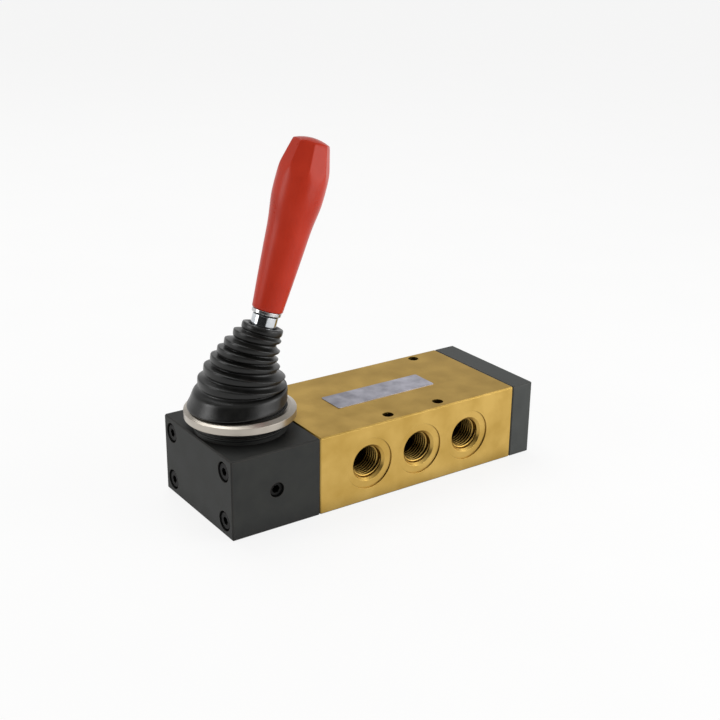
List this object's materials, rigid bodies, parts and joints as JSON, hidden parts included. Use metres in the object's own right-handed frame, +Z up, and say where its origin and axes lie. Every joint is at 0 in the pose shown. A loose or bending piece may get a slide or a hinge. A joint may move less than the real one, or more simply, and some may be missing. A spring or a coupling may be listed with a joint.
{
  "type": "hand lever air valve",
  "caption": "Manual spool valve for compressed air: ported bar body, black lever housing with ring nut and rubber boot, tipped lever with red handle.",
  "frame": {"origin": "on the flat base face, straight below the point where the middle port's axis meets the spool's axis", "axes": "+X along the spool from the lever end to the end cap, +Y from the face with three ports to the rear face, +Z up out of the base face"},
  "size_m": [0.1471, 0.0534, 0.1401],
  "materials": {
    "gold_anodised": "gold anodised, satin",
    "black_anodised": "matt black",
    "polished_nickel": "nickel plated, polished",
    "label_foil": "bare silver foil",
    "screw_steel": "zinc plated",
    "seal_rubber": "nitrile rubber",
    "guide_plastic": "natural acetal",
    "pin_steel": "ground steel",
    "spring_steel": "drawn spring wire",
    "boot_rubber": "matt moulded rubber",
    "lever_chrome": "hard chrome, polished",
    "bronze": "sintered bronze",
    "handle_red": "moulded, semi-gloss",
    "brass_insert": "turned",
    "spool_aluminium": "ground and clear anodised"
  },
  "bodies": {
    "valve": {"valve_body": "gold_anodised", "lever_housing": "black_anodised", "end_cap": "black_anodised", "ring_nut": "polished_nickel", "nameplate": "label_foil", "lever_housing_screws": "screw_steel", "end_cap_screws": "screw_steel", "housing_face_seal": "seal_rubber", "cap_face_seal": "seal_rubber", "lever_end_guide": "guide_plastic", "cap_end_guide": "guide_plastic", "pivot_pin": "pin_steel", "detent_set_screw": "screw_steel", "detent_spring": "spring_steel", "lever_boot": "boot_rubber", "spool_seal_1": "seal_rubber", "spool_seal_2": "seal_rubber", "spool_seal_3": "seal_rubber", "spool_seal_4": "seal_rubber", "spool_seal_5": "seal_rubber", "spool_seal_6": "seal_rubber", "seal_spacer_1": "guide_plastic", "seal_spacer_2": "guide_plastic", "seal_spacer_3": "guide_plastic", "seal_spacer_4": "guide_plastic", "seal_spacer_5": "guide_plastic"},
    "lever": {"lever_rod": "lever_chrome", "pivot_bush": "bronze", "ferrule": "lever_chrome", "handle": "handle_red", "handle_insert": "brass_insert"},
    "spool": {"spool": "spool_aluminium", "drive_shuttle": "pin_steel"},
    "detent": {"detent_ball": "pin_steel"}
  },
  "joints": [
    {"name": "lever_tilt", "type": "hinge", "parent": "valve", "child": "lever", "pos_m": [-0.0663, 0, 0.038], "axis": [0, 1, 0], "range_deg": [-36, 0], "deforming": ["lever_boot"]},
    {"name": "spool_slide", "type": "slide", "parent": "valve", "child": "spool", "axis": [1, 0, 0], "range_m": [0, 0.0136]},
    {"name": "detent_drop", "type": "slide", "parent": "valve", "child": "detent", "axis": [0, 1, 0], "range_m": [0, 0.0009], "stiffness_N_per_m": 600, "springref_m": 0.004}
  ],
  "couplings": [
    {"joint": "spool_slide", "follows": "lever_tilt", "m_per_rad": -0.02164}
  ]
}
